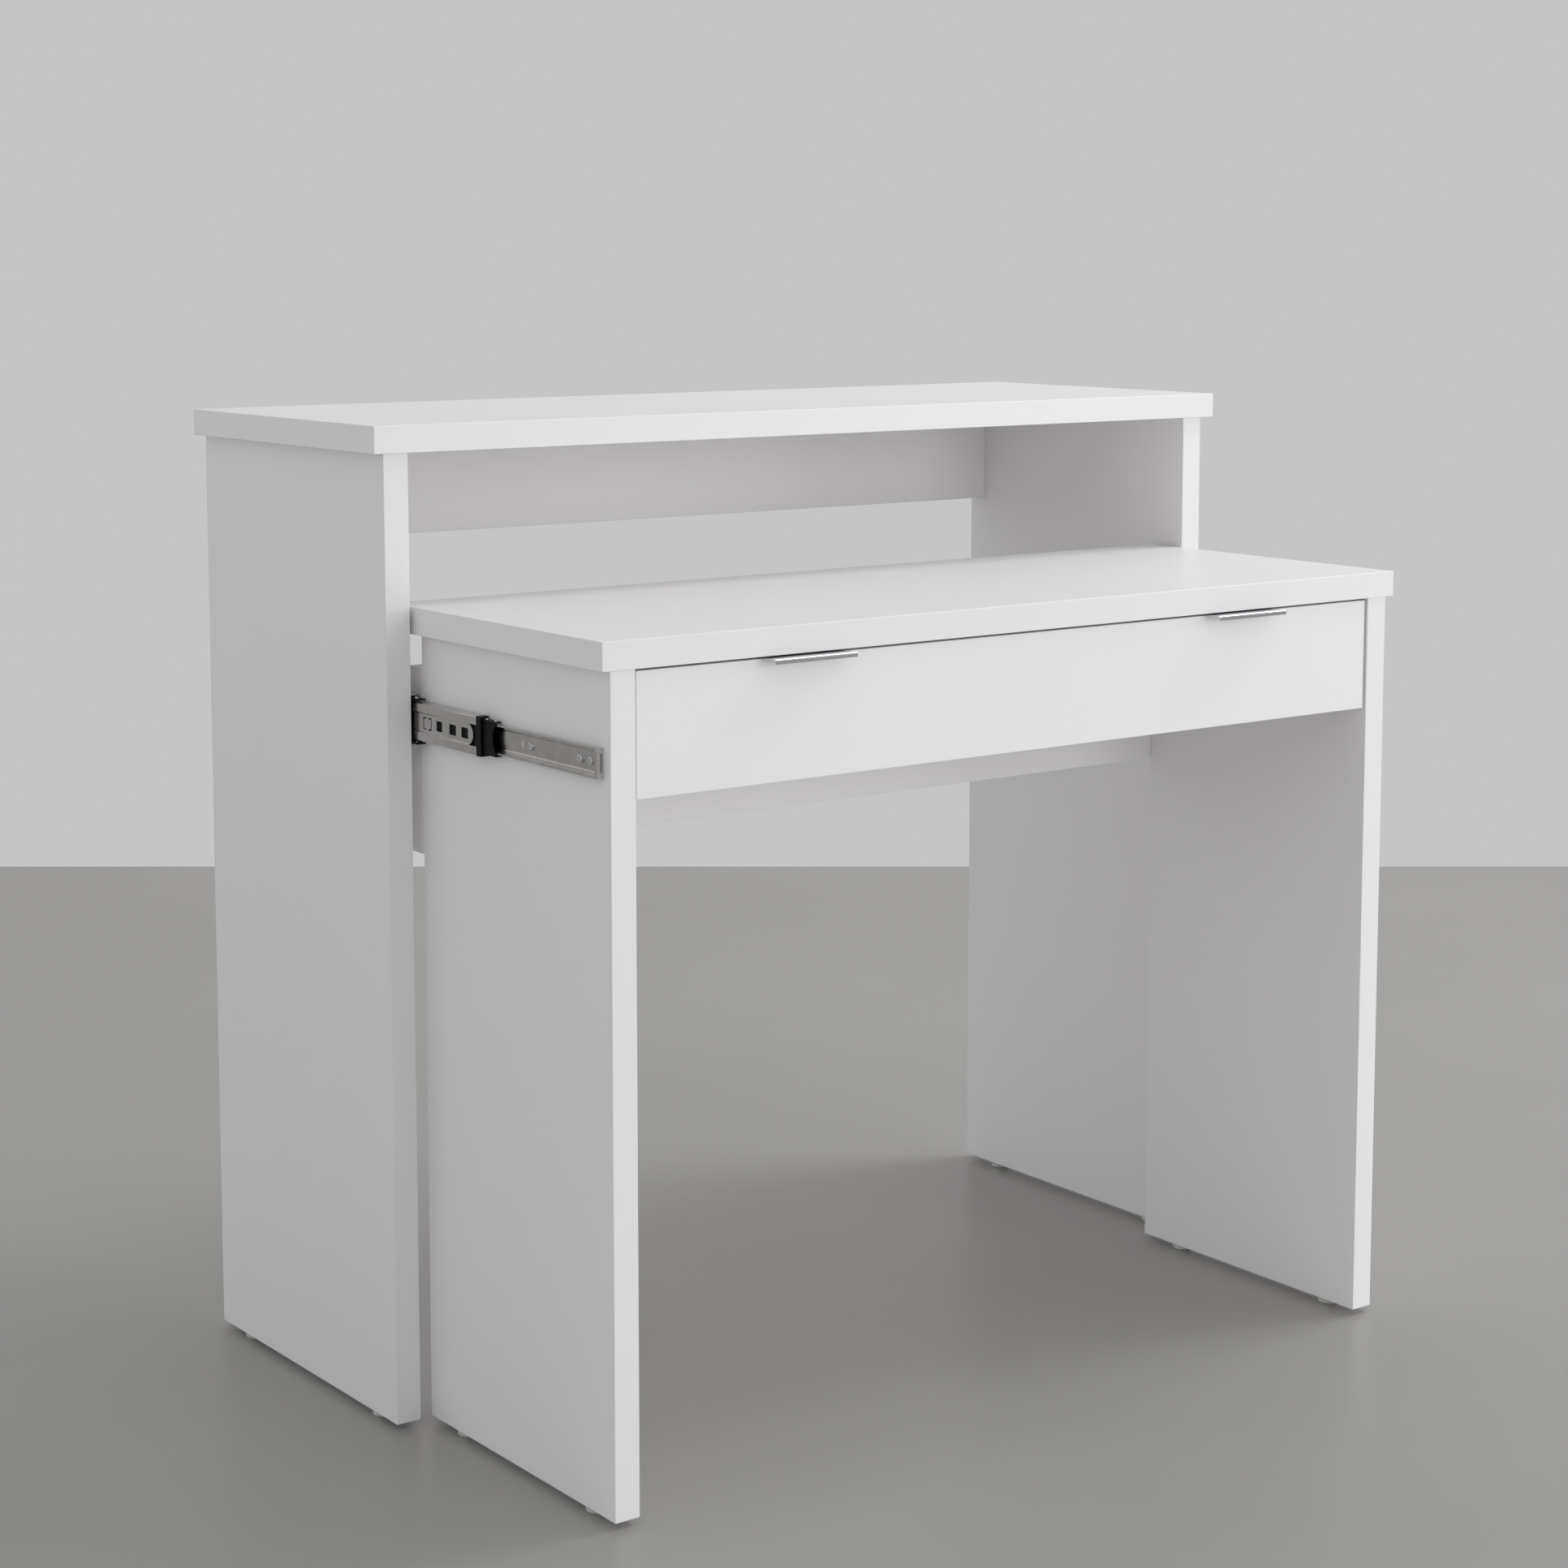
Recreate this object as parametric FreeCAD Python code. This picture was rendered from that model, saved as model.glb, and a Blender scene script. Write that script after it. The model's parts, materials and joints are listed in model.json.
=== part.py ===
import FreeCAD, Part
import math
import os

# A console table with a writing desk that pulls out of it on two telescopic slides.
# Millimetres. X runs along the width with 0 in the middle, +Y runs to the back, +Z up.
# Until it is saved, Y is measured from the front edge of the console top, and the desk
# is drawn pulled out to its stop with its drawer shut.

# Boards
board = 24.0
edge_radius = 0.6
hole_fit = 0.1
overrun = 5.0
rail_joint_share = 1 / 6
skew_share = 0.01

# Console
console_width = 986.0
console_depth = 345.0
console_height = 890.0
console_top_overhang = 12.0
console_front_setback = 6.0
console_rail_height = 103.0
console_top_dowel_count = 3
console_rail_cam_count = 1
top_cam_share = 0.5

# Desk
desk_hold_back = 53.0
desk_closed_setback = 2.0
desk_wall_gap = 6.0
space_above_desk = 134.0
desk_top_gap = 4.0
desk_side_setback = 2.0
desk_rail_wall_gap = 20.0
desk_rail_drop = 30.0
desk_rail_height = 164.0
desk_rail_cam_count = 1
desk_top_cam_count = 2

# Drawer
drawer_board = 18.0
drawer_side_board = 12.0
drawer_bottom_board = 3.0
drawer_front_recess = 2.0
drawer_front_height = 104.0
drawer_top_gap = 2.2
drawer_side_gap = 2.0
drawer_box_height = 72.0
drawer_back_gap = 19.0
drawer_box_lift = 16.0
drawer_groove_depth = 5.0
drawer_groove_lift = 8.0
drawer_joint_rise = 18.0
drawer_joint_drop = 12.0

# Edge pulls on the top of the drawer front
pull_length = 85.0
pull_from_side = 126.5
pull_sheet = 1.2
pull_reach = 18.0
pull_lip = 4.2
pull_flange = 18.0
pull_screw_from_end = 22.0

# Glides under the side panels
glide_radius = 10.0
glide_height = 6.0
glide_from_end = 45.0
glide_pin_radius = 2.5
glide_pin_length = 14.0
glide_edge = 1.2

# Desk slides: three members side by side in one gap
slide_gap = 12.7
slide_drop = 75.0
slide_sheet = 1.2
slide_bend = 1.0
slide_outer_height = 45.0
slide_outer_ball_gap = 4.3
slide_inner_ball_gap = 3.3
slide_outer_reach = 11.8
slide_outer_lip = 2.6
slide_outer_setback = 6.0
slide_outer_back_gap = 33.0
slide_middle_web = 3.0
slide_middle_reach = 11.4
slide_middle_shorter = 8.0
slide_middle_share = 0.375
slide_inner_depth = 6.2
slide_inner_setback = 11.5
slide_inner_end_round = 2.0
slide_end_thickness = 4.0
rib_from_flange = 4.3
rib_step = 0.8
inner_rib_step = 0.6

# Windows in the web of a middle member, measured back from its front end
window_corner = 1.2
window_height_share = 0.55
window_width = 11.0
window_starts = (14.5, 34.5)
slot_start = 57.5
slot_width = 9.5
tab_start = 75.5
tab_length = 14.0
tab_height_share = 0.67
tab_slit = 1.2
tab_bridge = 3.0
notch_depth = 13.0
notch_crown = 6.5
notch_past_rib = 1.0
end_stop_length = 7.0

# Ball cages
cage_sheet = 0.9
cage_arm = 1.2
ball_fit = 0.15
cage_hole_fit = 0.15
outer_cage_length = 98.0
outer_cage_stick_out = 13.5
outer_cage_web_setback = 7.5
outer_cage_reach = 9.8
inner_cage_length = 112.0
inner_cage_stick_out = 28.0
inner_cage_reach = 10.9
cage_arch_depth = 6.0
outer_row_ball_count = 6
inner_row_ball_count = 8
ball_pitch = 14.0
outer_ball_from_end = 9.0
inner_ball_from_end = 5.0

# Drawer runners: two members side by side in one gap
runner_gap = 12.7
runner_height = 35.0
runner_reach = 11.4
runner_ball_gap = 4.3
runner_setback = 4.0
runner_lift = 28.0
runner_overlap = 60.0
runner_cage_room = 2.0
runner_cage_reach = 10.0
runner_row_ball_count = 4

# Screws, dowels and cam fittings
screw_radius = 1.75
screw_depth = 11.0
flat_head_radius = 3.6
flat_head_height = 2.0
pan_head_radius = 3.5
pan_head_height = 1.9
pan_head_round = 0.7
recess_width = 1.0
recess_length = 4.0
recess_depth = 0.9
slide_screw_from_end = 22.0
slide_screw_count = 3
desk_screw_places = (14.5, 30.0, 105.0)
desk_screw_from_back = 24.0
slide_slot_place = 120.0
slide_slot_width = 4.0
slide_slot_height = 7.0
end_slot_width = 1.3
end_slot_share = 0.6
end_slot_from_flange = 4.5
runner_screw_from_end = 32.0
dowel_radius = 4.0
dowel_in_face = 12.0
dowel_in_edge = 18.0
dowel_room = 1.0
drawer_dowel_radius = 3.0
drawer_dowel_in_face = 10.0
cam_radius = 7.5
cam_from_end = 34.0
cam_beyond_bolt = 4.5
cam_mouth = 4.0
cam_mouth_past = 2.5
bolt_thread_radius = 2.5
bolt_thread_length = 11.0
bolt_radius = 3.0
bolt_head_radius = 3.6
bolt_head_length = 3.0
box_screw_radius = 2.0
box_screw_length = 30.0
box_screw_head_radius = 3.5
box_screw_head_height = 2.2

# Places worked out from the sizes
half_width = console_width / 2
console_top_under = console_height - board
console_side_outer = half_width - console_top_overhang
console_side_inner = console_side_outer - board
console_rail_front = console_depth - board

desk_travel = console_depth - desk_hold_back
desk_top_height = console_top_under - space_above_desk
desk_side_outer = console_side_inner - slide_gap
desk_side_inner = desk_side_outer - board
desk_top_half = console_side_inner - desk_top_gap
desk_top_under = desk_top_height - board
desk_top_front = desk_closed_setback - desk_travel
desk_top_back = console_depth - desk_wall_gap - desk_travel
desk_side_front = desk_top_front + desk_side_setback
desk_side_back = console_depth - desk_rail_wall_gap - board - desk_travel
desk_rail_top = desk_top_under - desk_rail_drop
desk_rail_bottom = desk_rail_top - desk_rail_height

slide_middle_height = slide_outer_height - 2 * (slide_sheet + slide_outer_ball_gap)
slide_inner_height = slide_middle_height - 2 * (slide_sheet + slide_inner_ball_gap)
slide_rib_half = slide_inner_height / 2 - rib_from_flange
slide_centre_height = desk_top_under - slide_drop
slide_front = console_front_setback + slide_outer_setback
slide_length = console_depth - slide_outer_back_gap - slide_front
slide_middle_length = slide_length - slide_middle_shorter
slide_inner_front = desk_side_front + slide_inner_setback
slide_inner_length = slide_middle_length

front_top = desk_top_under - drawer_top_gap
front_bottom = front_top - drawer_front_height
front_face = desk_side_front + drawer_front_recess
front_back = front_face + drawer_board
front_half = desk_side_inner - drawer_side_gap
box_outer = desk_side_inner - runner_gap
box_inner = box_outer - drawer_side_board
box_bottom = front_bottom + drawer_box_lift
box_top = box_bottom + drawer_box_height
box_back = desk_side_back - drawer_back_gap
runner_moving_height = runner_height - 2 * (slide_sheet + runner_ball_gap)
runner_centre_height = box_bottom + runner_lift
runner_front = front_back + runner_setback
runner_length = box_back - runner_setback - runner_front
drawer_travel = runner_length - runner_overlap

pull_front = front_face - pull_reach
centre_y = (console_depth + pull_front) / 2


def vector(x, y, z):
    return FreeCAD.Vector(x, y, z)


right, back, up = vector(1, 0, 0), vector(0, 1, 0), vector(0, 0, 1)
left, front, down = right * -1, back * -1, up * -1


def block(x0, x1, y0, y1, z0, z1):
    """Box between two corners."""
    return Part.makeBox(x1 - x0, y1 - y0, z1 - z0, vector(x0, y0, z0))


def panel(x0, x1, y0, y1, z0, z1):
    """Board with its sharp edges broken."""
    shape = block(x0, x1, y0, y1, z0, z1)
    return shape.makeFillet(edge_radius, shape.Edges)


def rod(radius, start, end):
    """Cylinder from one point to another."""
    run = end - start
    return Part.makeCylinder(radius, run.Length, start, run)


def mirrored(shape):
    """The same shape on the other side of the middle."""
    return shape.mirror(vector(0, 0, 0), vector(1, 0, 0))


def both_sides(shapes):
    """The shapes on the left with their mirror images on the right."""
    return shapes + [mirrored(shape) for shape in shapes]


def edges_along(shape, way):
    """The straight edges of a shape that run one way."""
    return [edge for edge in shape.Edges
            if way.cross(edge.tangentAt(edge.FirstParameter)).Length < skew_share]


def less(shape, cutters):
    """A shape with the cutters taken out of it."""
    rest = shape.cut(cutters).Solids
    return rest[0] if len(rest) == 1 else Part.makeCompound(rest)


def save(name, solids):
    """One file for one named piece, moved so that the middle of the whole is at Y 0."""
    shape = solids[0] if len(solids) == 1 else Part.makeCompound(solids)
    shape = shape.copy()
    shape.translate(vector(0, -centre_y, 0))
    shape.exportStep("parts/" + name + ".step")


def bent_sheet(path, sheet, bend, place, run):
    """Sheet metal of one thickness that follows a path of straight runs with round bends.

    The path is the middle of the sheet, place turns its two numbers into a point, and
    run is the direction and length in which the section is drawn out.
    """
    points = [FreeCAD.Vector(a, b, 0) for a, b in path]
    ways = [(q - p).normalize() for p, q in zip(points, points[1:])]
    sides = {1: [], -1: []}
    for side, edges in sides.items():
        half = side * sheet / 2
        here = points[0] + FreeCAD.Vector(-ways[0].y, ways[0].x, 0) * half
        for corner, before, after in zip(points[1:], ways, ways[1:]):
            turn = before.x * after.y - before.y * after.x
            hand = math.copysign(1, turn)
            cut_back = bend * math.tan(math.asin(abs(turn)) / 2)
            normal = FreeCAD.Vector(-before.y, before.x, 0)
            centre = corner - before * cut_back + normal * (hand * bend)
            outward = (corner - centre).normalize()
            arc_start = corner - before * cut_back + normal * half
            arc_middle = centre + outward * (bend - hand * half)
            arc_end = corner + after * cut_back + FreeCAD.Vector(-after.y, after.x, 0) * half
            edges.append((here, arc_start))
            edges.append((arc_start, arc_middle, arc_end))
            here = arc_end
        last = points[-1] + FreeCAD.Vector(-ways[-1].y, ways[-1].x, 0) * half
        edges.append((here, last))
    near, far = sides[1], sides[-1]
    back = [tuple(reversed(edge)) for edge in reversed(far)]
    outline = near + [(near[-1][-1], back[0][0])] + back + [(back[-1][-1], near[0][0])]
    shapes = []
    for edge in outline:
        ends = [place(point.x, point.y) for point in edge]
        if len(ends) == 3:
            shapes.append(Part.Arc(*ends).toShape())
        else:
            shapes.append(Part.LineSegment(*ends).toShape())
    return Part.Face(Part.Wire(shapes)).extrude(run)


def dowel_joint(joint, way, radius, in_face, in_edge):
    """A dowel across the joint between two boards, and the bore that both boards get."""
    dowel = rod(radius, joint - way * in_face, joint + way * in_edge)
    bore = rod(radius + hole_fit, joint - way * (in_face + dowel_room),
               joint + way * (in_edge + dowel_room))
    return dowel, bore


def cross_recess(centre, way, depth):
    """Cross-shaped driver recess that goes in along way from the middle of a head."""
    shapes = []
    for length, width in ((recess_length, recess_width), (recess_width, recess_length)):
        slot = Part.makeBox(length, width, depth + overrun,
                            vector(-length / 2, -width / 2, -overrun))
        slot.Placement = FreeCAD.Placement(centre, FreeCAD.Rotation(vector(0, 0, 1), way))
        shapes.append(slot)
    return shapes


def cam_joint(joint, way, into):
    """Cam fitting in the edge of a rail: bolt, cam, and the bores of rail and face board.

    way runs from the face board into the rail, and into runs from the rail's open face,
    where the cam drops in, towards its middle.
    """
    middle = joint + way * cam_from_end
    mouth = middle - into * (board / 2)
    floor = middle + into * cam_beyond_bolt
    head_start = middle - way * (bolt_head_length / 2)
    bolt = rod(bolt_thread_radius, joint - way * bolt_thread_length, joint)
    bolt = bolt.fuse(rod(bolt_radius, joint, head_start))
    bolt = bolt.fuse(rod(bolt_head_radius, head_start, head_start + way * bolt_head_length))
    opening = rod(cam_mouth, middle - way * (cam_radius + overrun), middle + way * cam_mouth_past)
    cam = rod(cam_radius, mouth, floor)
    cam = less(cam, [opening] + cross_recess(mouth, into, recess_depth))
    rail_bores = [rod(cam_radius + hole_fit, mouth - into * overrun, floor + into * hole_fit),
                  rod(bolt_radius + hole_fit, joint - way * overrun, middle)]
    face_bore = rod(bolt_thread_radius + hole_fit, joint - way * (bolt_thread_length + dowel_room),
                    joint + way * overrun)
    return bolt.removeSplitter(), cam, rail_bores, face_bore


def flat_screw(head_face, way, sheet):
    """Countersunk screw with its head flush in a sheet, and the hole that it goes through."""
    cone = Part.makeCone(flat_head_radius, screw_radius, flat_head_height, head_face, way)
    shank = rod(screw_radius, head_face, head_face + way * (sheet + screw_depth))
    screw = less(cone.fuse(shank), cross_recess(head_face, way, recess_depth))
    start = head_face - way * hole_fit
    seat = Part.makeCone(flat_head_radius + hole_fit, screw_radius + hole_fit,
                         flat_head_height + hole_fit, start, way)
    bore = rod(screw_radius + hole_fit, start, head_face + way * (sheet + screw_depth + dowel_room))
    return screw, seat.fuse(bore)


def pan_screw(seat_face, way, sheet):
    """Screw with a rounded head that sits on a sheet, and the hole that it goes through."""
    head = rod(pan_head_radius, seat_face - way * pan_head_height, seat_face)
    rim = [edge for edge in head.Edges
           if (edge.CenterOfMass - (seat_face - way * pan_head_height)).Length < pan_head_round
           and edge.Closed]
    head = head.makeFillet(pan_head_round, rim)
    shank = rod(screw_radius, seat_face, seat_face + way * (sheet + screw_depth))
    recess = cross_recess(seat_face - way * pan_head_height, way, recess_depth)
    screw = less(head.fuse(shank), recess)
    bore = rod(screw_radius + hole_fit, seat_face - way * overrun,
               seat_face + way * (sheet + screw_depth + dowel_room))
    return screw, bore


def glide(x, y):
    """Plastic glide nailed under a side panel, and the pilot hole for its pin."""
    foot = rod(glide_radius, vector(x, y, 0), vector(x, y, glide_height))
    bottom = [edge for edge in foot.Edges if edge.Closed and edge.CenterOfMass.z < edge_radius]
    foot = foot.makeChamfer(glide_edge, bottom)
    top = vector(x, y, glide_height)
    pin = rod(glide_pin_radius, top, top + vector(0, 0, glide_pin_length))
    pilot = rod(glide_pin_radius + hole_fit, top, top + vector(0, 0, glide_pin_length + dowel_room))
    return foot.fuse(pin).removeSplitter(), pilot


def even(first, last, count):
    """Evenly spaced places from the first to the last."""
    return [first + (last - first) * step / (count - 1) for step in range(count)]


def joint_places(first, last, cam_count):
    """Places of cams between two dowels, each place with whether a dowel goes there."""
    places = even(first, last, cam_count + 2)
    return [(place, place in (places[0], places[-1])) for place in places]


def rail_places(bottom, top, cam_count):
    """Heights of the dowels and cams at the end of a rail."""
    inset = (top - bottom) * rail_joint_share
    return joint_places(bottom + inset, top - inset, cam_count)


# Section of a slide in the left-hand gap. u is the distance from the board that the fixed
# member is screwed to, towards the board that moves, and v is the height above its middle.

def slide_place(face, height):
    """Point in the section at the gap beside face, for u and v."""
    return lambda u, v: vector(face + u, 0, height + v)


def along(shape, y):
    """A section piece moved along the slide."""
    shape = shape.copy()
    shape.translate(vector(0, y, 0))
    return shape


def fixed_member(face, height, tall, reach, lip, length):
    """Channel with its web on the fixed board and a small lip at the edge of each flange."""
    web = slide_sheet / 2
    flange = tall / 2 - slide_sheet / 2
    edge = reach - slide_sheet / 2
    path = [(edge, flange - lip), (edge, flange), (web, flange),
            (web, -flange), (edge, -flange), (edge, lip - flange)]
    return bent_sheet(path, slide_sheet, slide_bend, slide_place(face, height), back * length)


def moving_member(face, height, tall, gap, length):
    """Shallow channel with its ribbed web on the moving board and its flanges turned back."""
    outer_web = gap - slide_sheet / 2
    web = outer_web - inner_rib_step
    flange = tall / 2 - slide_sheet / 2
    edge = gap - slide_inner_depth
    rib = tall / 2 - rib_from_flange
    step = rib + inner_rib_step
    path = [(edge, flange), (web, flange), (web, step), (outer_web, rib), (outer_web, -rib),
            (web, -step), (web, -flange), (edge, -flange)]
    return bent_sheet(path, slide_sheet, slide_bend / 2 + slide_sheet / 2,
                      slide_place(face, height), back * length)


def middle_member(face, height):
    """Channel of the middle member, with the middle of its web set in between two ribs."""
    web = slide_middle_web + slide_sheet / 2
    deep_web = web + rib_step
    flange = slide_middle_height / 2 - slide_sheet / 2
    step = slide_rib_half + rib_step
    path = [(slide_middle_reach, flange), (web, flange), (web, step), (deep_web, slide_rib_half),
            (deep_web, -slide_rib_half), (web, -step), (web, -flange),
            (slide_middle_reach, -flange)]
    return bent_sheet(path, slide_sheet, slide_bend, slide_place(face, height),
                      back * slide_middle_length)


def rounded_window(x0, x1, start, width, tall, height):
    """Cutter for a window in a web, with round corners."""
    window = block(x0, x1, start, start + width, height - tall / 2, height + tall / 2)
    return window.makeFillet(window_corner, edges_along(window, right))


def cage(face, height, web_at, reach, arm_middle, length, web_setback):
    """Ball cage: a thin web with an arm above and below, each with a row of holes for balls."""
    arm = cage_arm / 2
    web = block(face + web_at, face + web_at + cage_sheet, web_setback, length,
                height - arm_middle, height + arm_middle)
    arch_middle = vector(face + web_at - overrun, web_setback, height)
    arch_end = arch_middle + right * (cage_sheet + 2 * overrun)
    half = arm_middle - cage_arm
    radius = (half ** 2 + cage_arch_depth ** 2) / (2 * cage_arch_depth)
    sink = back * (cage_arch_depth - radius)
    web = web.cut(rod(radius, arch_middle + sink, arch_end + sink))
    shape = web
    for side in (1, -1):
        middle = height + side * arm_middle
        shape = shape.fuse(block(face + web_at, face + reach, 0, length, middle - arm, middle + arm))
    return shape.removeSplitter()


def ball_row(face, height, u, arm_middle, radius, first, count):
    """Balls in both arms of a cage, and the holes that hold them."""
    balls, holes = [], []
    for side in (1, -1):
        for number in range(count):
            centre = vector(face + u, first + number * ball_pitch, height + side * arm_middle)
            balls.append(Part.makeSphere(radius, centre))
            half = up * cage_arm
            holes.append(rod(radius + cage_hole_fit, centre - half, centre + half))
    return balls, holes


def all_pieces():
    """Every named piece of the console, the desk and the drawer, with its solids."""
    pieces = {}
    pieces.update(console())
    pieces.update(desk())
    pieces.update(drawer())
    return pieces


def console():
    """Top, two sides and a rail under the top at the back, on four glides."""
    sides_z = (glide_height, console_top_under)
    top = panel(-half_width, half_width, 0, console_depth, console_top_under, console_height)
    side = panel(-console_side_outer, -console_side_inner, console_front_setback, console_depth,
                 *sides_z)
    rail_bottom = console_top_under - console_rail_height
    rail = panel(-console_side_inner, console_side_inner, console_rail_front, console_depth,
                 rail_bottom, console_top_under)
    dowels, cams, bolts, glides = [], [], [], []
    top_cuts, side_cuts, rail_cuts = [], [], []

    side_middle = -console_side_inner - board / 2
    first = console_front_setback + glide_from_end
    last = console_rail_front - glide_from_end
    for y in even(first, last, console_top_dowel_count):
        dowel, bore = dowel_joint(vector(side_middle, y, console_top_under), down,
                                  dowel_radius, dowel_in_face, dowel_in_edge)
        dowels.append(dowel)
        top_cuts.append(bore)
        side_cuts.append(bore)

    rail_middle = console_rail_front + board / 2
    for z, is_dowel in rail_places(rail_bottom, console_top_under, console_rail_cam_count):
        joint = vector(-console_side_inner, rail_middle, z)
        if is_dowel:
            dowel, bore = dowel_joint(joint, right, dowel_radius, dowel_in_face, dowel_in_edge)
            dowels.append(dowel)
            rail_cuts.append(bore)
            side_cuts.append(bore)
        else:
            bolt, cam, rail_bores, face_bore = cam_joint(joint, right, front)
            bolts.append(bolt)
            cams.append(cam)
            rail_cuts.extend(rail_bores)
            side_cuts.append(face_bore)

    top_joint = vector(-console_side_inner * top_cam_share, rail_middle, console_top_under)
    bolt, cam, rail_bores, face_bore = cam_joint(top_joint, down, front)
    bolts.append(bolt)
    cams.append(cam)
    rail_cuts.extend(rail_bores)
    top_cuts.append(face_bore)

    for y in (console_front_setback + glide_from_end, console_depth - glide_from_end):
        foot, pilot = glide(side_middle, y)
        glides.append(foot)
        side_cuts.append(pilot)

    slides, screw_bores = console_slides()
    side_cuts.extend(screw_bores)
    side = less(side, side_cuts)
    return {
        "console_top": [less(top, both_sides(top_cuts))],
        "console_side_left": [side],
        "console_side_right": [mirrored(side)],
        "console_back_rail": [less(rail, both_sides(rail_cuts))],
        "console_dowels": both_sides(dowels),
        "console_cams": both_sides(cams),
        "console_cam_bolts": both_sides(bolts),
        "console_glides": both_sides(glides),
        **slides,
    }


def console_slides():
    """Left-hand slide with its mirror image, and the bores that its screws need."""
    face = -console_side_inner
    height = slide_centre_height
    middle_front = slide_front - slide_middle_share * desk_travel
    outer_cage_front = slide_front - outer_cage_stick_out
    inner_cage_front = middle_front - inner_cage_stick_out
    pieces = {}

    outer = fixed_member(face, height, slide_outer_height, slide_outer_reach, slide_outer_lip,
                         slide_length)
    outer = along(outer, slide_front)
    screws, bores = [], []
    for y in even(slide_front + slide_screw_from_end,
                  slide_front + slide_length - slide_screw_from_end, slide_screw_count):
        head = vector(face + slide_sheet, y, height)
        screw, bore = flat_screw(head, left, slide_sheet)
        screws.append(screw)
        bores.append(bore)
    outer = less(outer, bores)

    middle = along(middle_member(face, height), middle_front)
    middle = less(middle, middle_windows(face, height, middle_front))
    stop = end_stop(face, height, middle_front)

    arm_middle = (slide_middle_height + slide_outer_ball_gap) / 2
    web_at = (slide_sheet + slide_middle_web) / 2 - cage_sheet / 2
    outer_cage = cage(face, height, web_at, outer_cage_reach, arm_middle, outer_cage_length,
                      outer_cage_web_setback)
    ball_u = (slide_middle_web + slide_outer_reach) / 2 - slide_sheet
    outer_balls, holes = ball_row(face, height, ball_u, arm_middle,
                                  slide_outer_ball_gap / 2 - ball_fit, outer_ball_from_end,
                                  outer_row_ball_count)
    outer_cage = along(less(outer_cage, holes), outer_cage_front)
    outer_balls = [along(ball, outer_cage_front) for ball in outer_balls]

    arm_middle = (slide_inner_height + slide_inner_ball_gap) / 2
    web_inside = slide_middle_web + slide_sheet + rib_step
    web_at = (web_inside + slide_gap - slide_inner_depth) / 2 - cage_sheet / 2
    inner_cage = cage(face, height, web_at, inner_cage_reach, arm_middle, inner_cage_length, 0)
    ball_u = slide_gap - slide_inner_depth / 2 - slide_sheet
    inner_balls, holes = ball_row(face, height, ball_u, arm_middle,
                                  slide_inner_ball_gap / 2 - ball_fit, inner_ball_from_end,
                                  inner_row_ball_count)
    inner_cage = along(less(inner_cage, holes), inner_cage_front)
    inner_balls = [along(ball, inner_cage_front) for ball in inner_balls]

    for name, shape in (("slide_outer", outer), ("slide_middle", middle),
                        ("slide_end_stop", stop), ("slide_outer_cage", outer_cage),
                        ("slide_inner_cage", inner_cage)):
        pieces[name + "_left"] = [shape]
        pieces[name + "_right"] = [mirrored(shape)]
    pieces["slide_outer_balls"] = both_sides(outer_balls)
    pieces["slide_inner_balls"] = both_sides(inner_balls)
    pieces["slide_screws_console"] = both_sides(screws)
    return pieces, bores


def middle_windows(face, height, start):
    """Windows, a tab between two slits and the curved notch in a middle member's web."""
    web = face + slide_middle_web
    before, beyond = web - overrun, web + overrun
    window_height = 2 * slide_rib_half * window_height_share
    tab_height = 2 * slide_rib_half * tab_height_share
    notch_half_height = slide_rib_half + notch_past_rib
    cuts = [rounded_window(before, beyond, start + slot_start, slot_width, window_height, height)]
    for place in window_starts:
        cuts.append(rounded_window(before, beyond, start + place, window_width, window_height,
                                   height))
    tab_window = rounded_window(before, beyond, start + tab_start, tab_length, tab_height, height)
    tab = rounded_window(before, beyond, start + tab_start + tab_slit, tab_length - 2 * tab_slit,
                         tab_height - 2 * tab_slit, height)
    bridge_start = start + tab_start + (tab_length - tab_bridge) / 2
    bridge = block(before, beyond, bridge_start, bridge_start + tab_bridge,
                   height - tab_height, height + tab_height)
    cuts.append(tab_window.cut([tab, bridge]))
    notch = block(before, beyond, start - overrun, start + notch_depth,
                  height - notch_half_height, height + notch_half_height)
    radius = (notch_half_height ** 2 + notch_crown ** 2) / (2 * notch_crown)
    centre = vector(before, start + notch_depth - notch_crown + radius, height)
    tongue = rod(radius, centre, centre + right * (2 * overrun))
    cuts.append(notch.cut(tongue))
    return cuts


def end_stop(face, height, start):
    """Plastic rim on the front end of a middle member, open where the inner parts pass."""
    inside = face + slide_middle_web
    half = slide_middle_height / 2
    frame = block(inside, face + slide_middle_reach, start - end_stop_length, start,
                  height - half, height + half)
    way_through = block(inside + slide_sheet, face + slide_middle_reach + overrun,
                        start - end_stop_length - overrun, start + overrun,
                        height - half + slide_sheet, height + half - slide_sheet)
    return less(frame, [way_through])


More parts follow.
